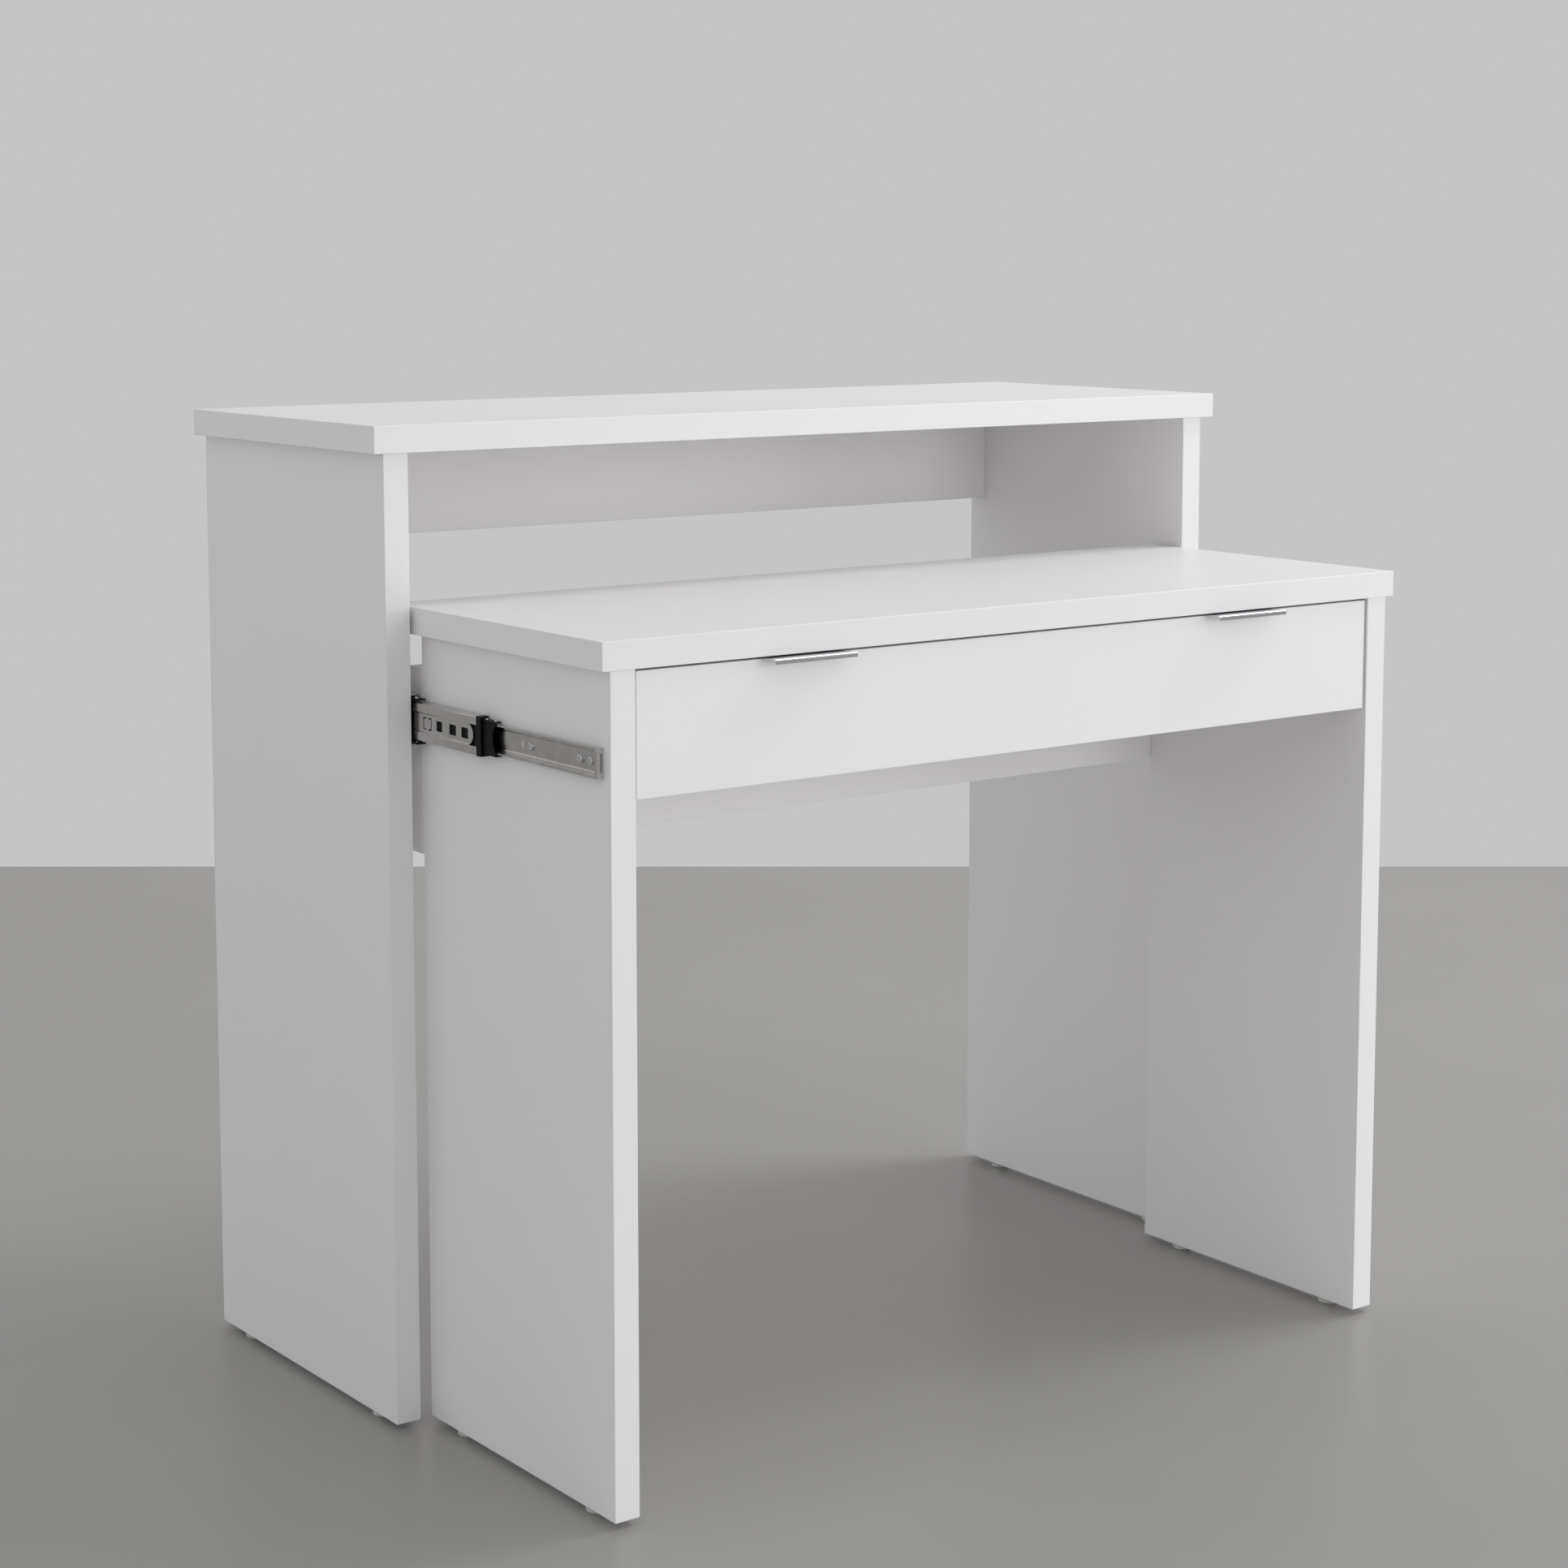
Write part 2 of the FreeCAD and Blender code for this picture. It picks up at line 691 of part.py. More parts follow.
def desk():
    """Desk top, two sides and a rail across their back edges, on four glides."""
    top = panel(-desk_top_half, desk_top_half, desk_top_front, desk_top_back,
                desk_top_under, desk_top_height)
    side = panel(-desk_side_outer, -desk_side_inner, desk_side_front, desk_side_back,
                 glide_height, desk_top_under)
    rail = panel(-desk_side_outer, desk_side_outer, desk_side_back, desk_side_back + board,
                 desk_rail_bottom, desk_rail_top)
    dowels, cams, bolts, glides = [], [], [], []
    top_cuts, side_cuts, rail_cuts = [], [], []

    side_middle = -desk_side_inner - board / 2
    first = desk_side_front + glide_from_end
    last = desk_side_back - glide_from_end
    for y, is_dowel in joint_places(first, last, desk_top_cam_count):
        joint = vector(side_middle, y, desk_top_under)
        if is_dowel:
            dowel, bore = dowel_joint(joint, down, dowel_radius, dowel_in_face, dowel_in_edge)
            dowels.append(dowel)
            top_cuts.append(bore)
            side_cuts.append(bore)
        else:
            bolt, cam, side_bores, face_bore = cam_joint(joint, down, left)
            bolts.append(bolt)
            cams.append(cam)
            side_cuts.extend(side_bores)
            top_cuts.append(face_bore)

    for z, is_dowel in rail_places(desk_rail_bottom, desk_rail_top, desk_rail_cam_count):
        joint = vector(side_middle, desk_side_back, z)
        if is_dowel:
            dowel, bore = dowel_joint(joint, front, dowel_radius, dowel_in_face, dowel_in_edge)
            dowels.append(dowel)
            side_cuts.append(bore)
            rail_cuts.append(bore)
        else:
            bolt, cam, side_bores, face_bore = cam_joint(joint, front, left)
            bolts.append(bolt)
            cams.append(cam)
            side_cuts.extend(side_bores)
            rail_cuts.append(face_bore)

    for y in (desk_side_front + glide_from_end, desk_side_back - glide_from_end):
        foot, pilot = glide(side_middle, y)
        glides.append(foot)
        side_cuts.append(pilot)

    inner, screws, screw_bores = inner_slide()
    runner, runner_screws, runner_bores = runner_fixed()
    side_cuts.extend(screw_bores)
    side_cuts.extend(runner_bores)
    side = less(side, side_cuts)
    return {
        "desk_top": [less(top, both_sides(top_cuts))],
        "desk_side_left": [side],
        "desk_side_right": [mirrored(side)],
        "desk_back_rail": [less(rail, both_sides(rail_cuts))],
        "desk_dowels": both_sides(dowels),
        "desk_cams": both_sides(cams),
        "desk_cam_bolts": both_sides(bolts),
        "desk_glides": both_sides(glides),
        "slide_inner_left": [inner],
        "slide_inner_right": [mirrored(inner)],
        "slide_screws_desk": both_sides(screws),
        "drawer_runner_fixed_left": [runner],
        "drawer_runner_fixed_right": [mirrored(runner)],
        "runner_screws_desk": both_sides(runner_screws),
    }


def inner_slide():
    """Inner member on the desk side, closed at its front end, with its screws."""
    face = -console_side_inner
    height = slide_centre_height
    start = slide_inner_front
    channel = along(moving_member(face, height, slide_inner_height, slide_gap,
                                  slide_inner_length), start)
    half = slide_inner_height / 2
    inside = face + slide_gap - slide_inner_depth
    end_front = start - slide_sheet
    end = block(inside, face + slide_gap, end_front, end_front + slide_end_thickness,
                height - half, height + half)
    rounded = [edge for edge in edges_along(end, back)
               if edge.CenterOfMass.x < inside + slide_sheet]
    end = end.makeFillet(slide_inner_end_round, rounded)
    shape = channel.fuse(end).removeSplitter()
    slot_middle = inside + slide_inner_depth * end_slot_share
    cuts = [block(slot_middle - end_slot_width / 2, slot_middle + end_slot_width / 2,
                  end_front - overrun, end_front + slide_end_thickness + overrun,
                  height - half + end_slot_from_flange, height + half - end_slot_from_flange)]
    slot = start + slide_slot_place
    web = face + slide_gap - slide_sheet
    cuts.append(block(web - overrun, web + overrun, slot - slide_slot_width / 2,
                      slot + slide_slot_width / 2, height - slide_slot_height / 2,
                      height + slide_slot_height / 2))
    screws, bores = [], []
    for place in (*desk_screw_places, slide_inner_length - desk_screw_from_back):
        screw, bore = pan_screw(vector(web, start + place, height), right, slide_sheet)
        screws.append(screw)
        bores.append(bore)
    return less(shape, cuts + bores), screws, bores


def runner_screw_places():
    """Places of the two screws along a runner member."""
    return (runner_front + runner_screw_from_end,
            runner_front + runner_length - runner_screw_from_end)


def runner_fixed():
    """Fixed member of a drawer runner on the inner face of the desk side, with its screws."""
    face = -desk_side_inner
    height = runner_centre_height
    shape = along(fixed_member(face, height, runner_height, runner_reach, slide_outer_lip,
                               runner_length), runner_front)
    screws, bores = [], []
    for y in runner_screw_places():
        head = vector(face + slide_sheet, y, height)
        screw, bore = flat_screw(head, left, slide_sheet)
        screws.append(screw)
        bores.append(bore)
    return less(shape, bores), screws, bores


def drawer():
    """Drawer front, two sides, back and bottom, with edge pulls and runners."""
    face_board = panel(-front_half, front_half, front_face, front_back, front_bottom, front_top)
    side = panel(-box_outer, -box_inner, front_back, box_back, box_bottom, box_top)
    back_board = panel(-box_inner, box_inner, box_back - drawer_side_board, box_back,
                       box_bottom, box_top)
    groove_bottom = box_bottom + drawer_groove_lift
    sheet_half = box_inner + drawer_groove_depth - hole_fit
    sheet = block(-sheet_half, sheet_half, front_back - drawer_groove_depth + hole_fit,
                  box_back - drawer_side_board + drawer_groove_depth - hole_fit,
                  groove_bottom + hole_fit, groove_bottom + hole_fit + drawer_bottom_board)
    groove = block(-box_inner - drawer_groove_depth, box_inner + drawer_groove_depth,
                   front_back - drawer_groove_depth,
                   box_back - drawer_side_board + drawer_groove_depth,
                   groove_bottom, groove_bottom + drawer_bottom_board + 2 * hole_fit)

    dowels, box_screws = [], []
    front_cuts, side_cuts, back_cuts = [groove], [groove], [groove]
    side_middle = -box_outer + drawer_side_board / 2
    for z in (groove_bottom + drawer_joint_rise, box_top - drawer_joint_drop):
        dowel, bore = dowel_joint(vector(side_middle, front_back, z), back, drawer_dowel_radius,
                                  drawer_dowel_in_face, dowel_in_edge)
        dowels.append(dowel)
        front_cuts.append(bore)
        side_cuts.append(bore)
        head = vector(-box_outer, box_back - drawer_side_board / 2, z)
        screw, bore = box_screw(head)
        box_screws.append(screw)
        side_cuts.append(bore)
        back_cuts.append(bore)

    pull, pull_screws, pull_bores = edge_pull()
    front_cuts.extend(pull_bores)
    runner, runner_screws, runner_bores = runner_moving()
    side_cuts.extend(runner_bores)
    side = less(side, side_cuts)
    pieces = {
        "drawer_front": [less(face_board, front_cuts[:1] + both_sides(front_cuts[1:]))],
        "drawer_side_left": [side],
        "drawer_side_right": [mirrored(side)],
        "drawer_back": [less(back_board, back_cuts[:1] + both_sides(back_cuts[1:]))],
        "drawer_bottom": [sheet],
        "drawer_dowels": both_sides(dowels),
        "drawer_box_screws": both_sides(box_screws),
        "drawer_pull_left": [pull],
        "drawer_pull_right": [mirrored(pull)],
        "drawer_pull_screws": both_sides(pull_screws),
        "drawer_runner_moving_left": [runner],
        "drawer_runner_moving_right": [mirrored(runner)],
        "runner_screws_drawer": both_sides(runner_screws),
    }
    pieces.update(runner_cages())
    return pieces


def box_screw(head):
    """Long screw from the outer face of a drawer side into the end of the back board."""
    cone = Part.makeCone(box_screw_head_radius, box_screw_radius, box_screw_head_height, head, right)
    screw = cone.fuse(rod(box_screw_radius, head, head + right * box_screw_length))
    screw = less(screw, cross_recess(head, right, recess_depth))
    seat = Part.makeCone(box_screw_head_radius + hole_fit, box_screw_radius + hole_fit,
                         box_screw_head_height + hole_fit, head, right)
    bore = rod(box_screw_radius + hole_fit, head, head + right * (box_screw_length + dowel_room))
    return screw, seat.fuse(bore)


def edge_pull():
    """Bent aluminium pull over the top edge of the drawer front, with its screws.

    Its bends are as round inside as the edges of the drawer front.
    """
    half = pull_sheet / 2
    start = -desk_side_inner + pull_from_side
    path = [(front_back + half, front_top - pull_flange), (front_back + half, front_top + half),
            (pull_front + half, front_top + half),
            (pull_front + half, front_top + pull_sheet - pull_lip)]
    pull = bent_sheet(path, pull_sheet, edge_radius + half, lambda y, z: vector(start, y, z),
                      right * pull_length)
    screws, bores = [], []
    for x in (start + pull_screw_from_end, start + pull_length - pull_screw_from_end):
        seat = vector(x, front_back + pull_sheet, front_top - pull_flange / 2)
        screw, bore = pan_screw(seat, front, pull_sheet)
        screws.append(screw)
        bores.append(bore)
    return less(pull, bores), screws, bores


def runner_moving():
    """Moving member of a drawer runner on the outer face of the drawer side."""
    face = -desk_side_inner
    height = runner_centre_height
    shape = along(moving_member(face, height, runner_moving_height, runner_gap,
                                runner_length), runner_front)
    web = face + runner_gap - slide_sheet
    screws, bores = [], []
    for y in runner_screw_places():
        screw, bore = runner_screw(vector(web, y, height))
        screws.append(screw)
        bores.append(bore)
    return less(shape, bores), screws, bores


def runner_screw(seat_face):
    """Short pan-head screw that stops inside the thin drawer side."""
    screw, bore = pan_screw(seat_face, right, slide_sheet)
    limit = seat_face + right * (slide_sheet + drawer_side_board - dowel_room)
    past_tip = rod(pan_head_radius, limit, limit + right * screw_depth)
    past_bore = rod(pan_head_radius, limit + right * (dowel_room / 2), limit + right * screw_depth)
    return less(screw, [past_tip]), less(bore, [past_bore])


def runner_cages():
    """Ball cages of the two drawer runners."""
    face = -desk_side_inner
    height = runner_centre_height
    arm_middle = (runner_moving_height + runner_ball_gap) / 2
    web_at = slide_sheet + cage_sheet / 2
    start = runner_front + drawer_travel / 2 + runner_cage_room
    length = runner_length - drawer_travel - 2 * runner_cage_room
    shape = cage(face, height, web_at, runner_cage_reach, arm_middle, length, 0)
    radius = runner_ball_gap / 2 - ball_fit
    ball_u = runner_cage_reach - radius - 2 * cage_hole_fit
    first = (length - (runner_row_ball_count - 1) * ball_pitch) / 2
    balls, holes = ball_row(face, height, ball_u, arm_middle, radius, first, runner_row_ball_count)
    shape = along(less(shape, holes), start)
    balls = [along(ball, start) for ball in balls]
    return {
        "drawer_runner_cage_left": [shape],
        "drawer_runner_cage_right": [mirrored(shape)],
        "drawer_runner_balls": both_sides(balls),
    }


def main():
    os.makedirs("parts", exist_ok=True)
    for name, solids in all_pieces().items():
        save(name, solids)


main()
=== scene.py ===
import json
import math

import bpy
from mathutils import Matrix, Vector

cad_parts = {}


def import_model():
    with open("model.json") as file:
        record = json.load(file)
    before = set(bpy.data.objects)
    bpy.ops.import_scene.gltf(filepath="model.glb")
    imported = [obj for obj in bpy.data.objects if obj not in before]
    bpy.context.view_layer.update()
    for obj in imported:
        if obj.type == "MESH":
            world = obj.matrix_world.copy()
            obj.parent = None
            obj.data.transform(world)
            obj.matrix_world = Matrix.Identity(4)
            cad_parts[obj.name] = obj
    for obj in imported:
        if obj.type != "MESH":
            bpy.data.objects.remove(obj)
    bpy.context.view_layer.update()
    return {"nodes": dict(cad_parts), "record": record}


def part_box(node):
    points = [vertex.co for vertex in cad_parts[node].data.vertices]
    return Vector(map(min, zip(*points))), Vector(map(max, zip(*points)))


# A console table with a pull-out writing desk: finishes, floor, light and camera.
# Metres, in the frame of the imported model: X along the width, +Y to the wall, Z up.
# Colours are linear, from 0 to 1. A pair of tones or of roughnesses goes from its first
# value to its second as the pattern on the surface goes from 0 to 1, and a span is the
# stretch of the noise that makes up that whole change.
MM = 0.001

# White faced board: its skin, the seam of its edge bands, and chipboard inside its bores
WHITE_FACE_TONES = ((0.87, 0.86, 0.87, 1), (0.855, 0.845, 0.857, 1))
WHITE_FACE_ROUGHNESS = (0.33, 0.45)
WHITE_FACE_SPAN = (0.1, 0.9)
WHITE_FACE_GRAIN = 0.55 * MM
WHITE_FACE_RELIEF = 0.012 * MM
WHITE_FACE_CLOUD = 90 * MM
FACE_LAYER = 0.45 * MM
BAND_THICKNESS = 1.0 * MM
SEAM_COLOUR = (0.60, 0.59, 0.59, 1)
SEAM_STRENGTH = 0.35
SEAM_HALF_WIDTH = 0.12 * MM
CHIPBOARD_TONES = ((0.52, 0.36, 0.20, 1), (0.22, 0.13, 0.06, 1))
CHIP_SIZE = 1.6 * MM
CHIPBOARD_ADDED_ROUGHNESS = 0.45
BEYOND_ANY_DEPTH = 1.0

# Thin white panel
THIN_PANEL_TONES = ((0.74, 0.735, 0.73, 1), (0.69, 0.68, 0.67, 1))
THIN_PANEL_ROUGHNESS = (0.48, 0.58)
THIN_PANEL_SPAN = (0.3, 0.7)
THIN_PANEL_GRAIN = 0.8 * MM
THIN_PANEL_RELIEF = 0.02 * MM
THIN_PANEL_CLOUD = 40 * MM

# Metals, by material slot. Lines are drawn out along the axis where the squeeze is small.
LINES_ALONG_WIDTH = (0.02, 1.0, 1.0)
LINES_ALONG_DEPTH = (1.0, 0.02, 1.0)
NO_LINES = (1.0, 1.0, 1.0)
METAL_SPAN = (0.35, 0.65)
STREAK_SHARE = 0.5
METALS = {
    "zinc_steel": {
        "name": "zinc-plated steel",
        "tones": ((0.66, 0.655, 0.64, 1), (0.52, 0.515, 0.50, 1)),
        "roughness": (0.18, 0.26),
        "squeeze": LINES_ALONG_DEPTH,
        "line_width": 0.35 * MM,
        "line_depth": 0.0006 * MM,
        "patch_size": 14 * MM,
    },
    "zinc_hardware": {
        "name": "bright zinc",
        "tones": ((0.88, 0.88, 0.89, 1), (0.66, 0.66, 0.67, 1)),
        "roughness": (0.22, 0.36),
        "squeeze": NO_LINES,
        "line_width": 0.5 * MM,
        "line_depth": 0.006 * MM,
        "patch_size": 3 * MM,
    },
    "steel_balls": {
        "name": "polished ball steel",
        "tones": ((0.80, 0.80, 0.80, 1), (0.55, 0.54, 0.52, 1)),
        "roughness": (0.06, 0.16),
        "squeeze": NO_LINES,
        "line_width": 0.6 * MM,
        "line_depth": 0.001 * MM,
        "patch_size": 2 * MM,
    },
    "satin_aluminium": {
        "name": "satin aluminium",
        "tones": ((0.74, 0.74, 0.77, 1), (0.66, 0.66, 0.69, 1)),
        "roughness": (0.13, 0.18),
        "squeeze": LINES_ALONG_WIDTH,
        "line_width": 0.25 * MM,
        "line_depth": 0.0005 * MM,
        "patch_size": 20 * MM,
    },
}

# Plastics, by material slot
PLASTIC_SPAN = (0.35, 0.65)
PLASTIC_CLOUD = 9 * MM
PLASTICS = {
    "black_plastic": {
        "name": "black moulded plastic",
        "tones": ((0.004, 0.004, 0.004, 1), (0.009, 0.009, 0.009, 1)),
        "roughness": (0.34, 0.48),
        "shine": 0.1,
        "grain": 0.4 * MM,
        "relief": 0.01 * MM,
    },
    "glide_plastic": {
        "name": "pale moulded plastic",
        "tones": ((0.66, 0.66, 0.64, 1), (0.58, 0.575, 0.55, 1)),
        "roughness": (0.42, 0.55),
        "shine": 0.5,
        "grain": 0.5 * MM,
        "relief": 0.01 * MM,
    },
}

# Beech dowels
BEECH_TONES = ((0.56, 0.37, 0.20, 1), (0.40, 0.24, 0.12, 1))
BEECH_ROUGHNESS = (0.55, 0.7)
BEECH_SPAN = (0.4, 0.7)
BEECH_SQUEEZE = (0.3, 1.0, 0.3)
BEECH_VEIN = 0.7 * MM
BEECH_RELIEF = 0.03 * MM
BEECH_PATCH = 6 * MM

# Floor, as it is seen, and as light bounces off it onto the object. Its far edge lies
# FLOOR_END ahead of the camera, and from there it reaches FLOOR_REACH back and to each side.
FLOOR_TONES = ((0.338, 0.335, 0.325, 1), (0.300, 0.297, 0.287, 1))
FLOOR_BOUNCE = (0.62, 0.61, 0.60, 1)
FLOOR_ROUGHNESS = (0.28, 0.32)
FLOOR_SPAN = (0.1, 0.9)
FLOOR_GRAIN = 6 * MM
FLOOR_RELIEF = 0.05 * MM
FLOOR_CLOUD = 700 * MM
FLOOR_END = 5.17
FLOOR_REACH = 9.0

# Background, and the even light from all round
BACKGROUND = (0.565, 0.553, 0.555, 1)
SKY = (1.0, 1.0, 1.0, 1)
SKY_STRENGTH = 0.635

# Soft square lamps that face the middle of the object: each one's place, side and power in
# watts, and whether shiny surfaces mirror it
LAMP_TARGET = (0.0, -0.05, 0.45)
LAMPS = {
    "lamp_low_front": {"place": (0.95, -4.47, 1.01), "side": 1.7, "power": 36.0, "mirrored": False},
    "lamp_low_right": {"place": (3.60, -2.81, 1.01), "side": 1.7, "power": 31.5, "mirrored": False},
    "lamp_high_right": {"place": (2.83, -0.60, 3.90), "side": 1.5, "power": 66.0, "mirrored": True},
}

# Camera, solved from the straight edges in the photograph. Its angles are in radians: turned
# from +Y towards +X, and tilted down. The lens and the sensor are in millimetres.
CAMERA_PLACE = (-1.7840, -2.3481, 1.0425)
CAMERA_TURN = 0.6375
CAMERA_TILT = 0.1137
CAMERA_LENS = 71.45
CAMERA_SENSOR = 36.0
CAMERA_SHIFT = -0.117

# Noise of the shared patterns: how many finer layers it has and how strong they are, and
# how many times as coarse the coarse noise of a skin is, with its share in the height
SKIN_FINE = (2.0, 0.5)
SKIN_COARSE = (1.0, 0.5)
SKIN_CLOUD = (3.0, 0.6)
STREAK_LINES = (3.0, 0.65)
STREAK_CLOUD = (2.0, 0.55)
COARSE_TIMES = 8.0
COARSE_SHARE = 0.6

# Places of the colour sockets on a Mix node: share, first, second, and the outcome
MIX_SHARE, MIX_FIRST, MIX_SECOND, MIX_OUTCOME = 0, 6, 7, 2


def put(tree, kind, inputs=None, **settings):
    """A node with its settings; an input is a plain value or another node's output."""
    made = tree.nodes.new(kind)
    for name, value in settings.items():
        setattr(made, name, value)
    for name, value in (inputs or {}).items():
        if isinstance(value, bpy.types.NodeSocket):
            tree.links.new(value, made.inputs[name])
        else:
            made.inputs[name].default_value = value
    return made


def reckon(tree, operation, *values, clamp=False):
    """The outcome of one sum on plain numbers."""
    inputs = dict(enumerate(values))
    return put(tree, "ShaderNodeMath", inputs, operation=operation, use_clamp=clamp).outputs[0]


def reckon_vector(tree, operation, *values):
    """The outcome of one sum on vectors."""
    return put(tree, "ShaderNodeVectorMath", dict(enumerate(values)),
               operation=operation).outputs[0]


def blend_colours(tree, share, first, second):
    """The first colour where share is 0 and the second where it is 1."""
    mix = put(tree, "ShaderNodeMix", {MIX_SHARE: share, MIX_FIRST: first, MIX_SECOND: second},
              data_type="RGBA")
    return mix.outputs[MIX_OUTCOME]


def between(tree, value, low, high, bottom=0.0, top=1.0):
    """Value moved from the span low to high to the span bottom to top, and held there."""
    return put(tree, "ShaderNodeMapRange", {"Value": value, "From Min": low, "From Max": high,
                                            "To Min": bottom, "To Max": top}).outputs["Result"]


def noise(tree, place, size, detail, roughness):
    """Soft noise with patches of about the given size."""
    scale = reckon(tree, "DIVIDE", 1.0, size)
    return put(tree, "ShaderNodeTexNoise", {"Vector": place, "Scale": scale, "Detail": detail,
                                            "Roughness": roughness}).outputs[0]


def start_group(name, given, returned):
    """A node group with named inputs and outputs."""
    tree = bpy.data.node_groups.new(name, "ShaderNodeTree")
    for label, kind in given:
        tree.interface.new_socket(label, in_out="INPUT", socket_type=kind)
    for label in returned:
        tree.interface.new_socket(label, in_out="OUTPUT", socket_type="NodeSocketFloat")
    return tree, tree.nodes.new("NodeGroupInput").outputs, tree.nodes.new("NodeGroupOutput").inputs


def skin_group():
    """Two sizes of soft noise, as the moulded or pressed skin of a surface has.

    Height is fine noise of the given Grain size plus a share of noise eight times as coarse,
    and Cloud is the slow noise of the given Cloud size.
    """
    tree, given, returned = start_group(
        "pressed skin",
        [("Place", "NodeSocketVector"), ("Grain", "NodeSocketFloat"),
         ("Cloud size", "NodeSocketFloat")],
        ["Height", "Cloud"])
    fine = noise(tree, given["Place"], given["Grain"], *SKIN_FINE)
    coarse_size = reckon(tree, "MULTIPLY", given["Grain"], COARSE_TIMES)
    coarse = noise(tree, given["Place"], coarse_size, *SKIN_COARSE)
    height = reckon(tree, "MULTIPLY_ADD", coarse, COARSE_SHARE, fine)
    tree.links.new(height, returned["Height"])
    cloud = noise(tree, given["Place"], given["Cloud size"], *SKIN_CLOUD)
    tree.links.new(cloud, returned["Cloud"])
    return tree


def streak_group():
    """Fine lines that run one way, as rolling or brushing leaves them on metal.

    Place is squeezed by Squeeze, so that noise of the given Width is drawn out along the
    axis where Squeeze is small. Streak is that noise, and Cloud a slow patchiness.
    """
    tree, given, returned = start_group(
        "drawn metal",
        [("Place", "NodeSocketVector"), ("Squeeze", "NodeSocketVector"),
         ("Width", "NodeSocketFloat"), ("Cloud size", "NodeSocketFloat")],
        ["Streak", "Cloud"])
    drawn = reckon_vector(tree, "MULTIPLY", given["Place"], given["Squeeze"])
    streak = noise(tree, drawn, given["Width"], *STREAK_LINES)
    tree.links.new(streak, returned["Streak"])
    cloud = noise(tree, given["Place"], given["Cloud size"], *STREAK_CLOUD)
    tree.links.new(cloud, returned["Cloud"])
    return tree


def least(tree, vector):
    """The least of a vector's three numbers."""
    parts = put(tree, "ShaderNodeSeparateXYZ", {"Vector": vector}).outputs
    return reckon(tree, "MINIMUM", reckon(tree, "MINIMUM", parts["X"], parts["Y"]), parts["Z"])


def board_group():
    """Where a point of a board lies in its layers.

    The depth under each pair of faces is half the board's size less the distance from its
    middle. Core is 1 where the least of the three depths is more than the face layer, and
    Seam is 1 on the line where the edge band meets the face: one band thickness in from the
    nearest edge. Thin way adds a large number to the depth across the board's thickness, so
    that the nearest edge is never one of its two broad faces.
    """
    tree, given, returned = start_group(
        "board layers",
        [("Place", "NodeSocketVector"), ("Middle", "NodeSocketVector"),
         ("Half size", "NodeSocketVector"), ("Thin way", "NodeSocketVector")],
        ["Core", "Seam"])
    off = reckon_vector(tree, "SUBTRACT", given["Place"], given["Middle"])
    depth = reckon_vector(tree, "SUBTRACT", given["Half size"],
                          reckon_vector(tree, "ABSOLUTE", off))
    core = reckon(tree, "GREATER_THAN", least(tree, depth), FACE_LAYER)
    tree.links.new(core, returned["Core"])
    from_edge = least(tree, reckon_vector(tree, "ADD", depth, given["Thin way"]))
    off_line = reckon(tree, "ABSOLUTE", reckon(tree, "SUBTRACT", from_edge, BAND_THICKNESS))
    tree.links.new(between(tree, off_line, SEAM_HALF_WIDTH, 0.0), returned["Seam"])
    return tree


def start_material(name):
    """A material with its shader, and the place in the model of the point that is shaded."""
    material = bpy.data.materials.new(name)
    material.use_nodes = True
    tree = material.node_tree
    shader = tree.nodes["Principled BSDF"]
    place = tree.nodes.new("ShaderNodeTexCoord").outputs["Object"]
    return material, tree, shader, place


def lay_skin(tree, place, grain, cloud_size, groups):
    """Height and cloud of a pressed or moulded skin."""
    skin = put(tree, "ShaderNodeGroup", {"Place": place, "Grain": grain,
                                         "Cloud size": cloud_size}, node_tree=groups["skin"])
    return skin.outputs["Height"], skin.outputs["Cloud"]


def draw_lines(tree, place, squeeze, width, cloud_size, groups):
    """Streak and cloud of a surface with lines that run one way."""
    drawn = put(tree, "ShaderNodeGroup", {"Place": place, "Squeeze": squeeze, "Width": width,
                                          "Cloud size": cloud_size}, node_tree=groups["streak"])
    return drawn.outputs["Streak"], drawn.outputs["Cloud"]


def colour_surface(tree, shader, share, tones, roughness):
    """Tone and roughness that follow one pattern, which goes from 0 to 1."""
    tree.links.new(blend_colours(tree, share, *tones), shader.inputs["Base Color"])
    tree.links.new(between(tree, share, 0.0, 1.0, *roughness), shader.inputs["Roughness"])


def raise_surface(tree, shader, height, relief):
    """Relief as deep as the given measure where height goes from 0 to 1."""
    bump = put(tree, "ShaderNodeBump", {"Height": height, "Distance": relief})
    tree.links.new(bump.outputs["Normal"], shader.inputs["Normal"])


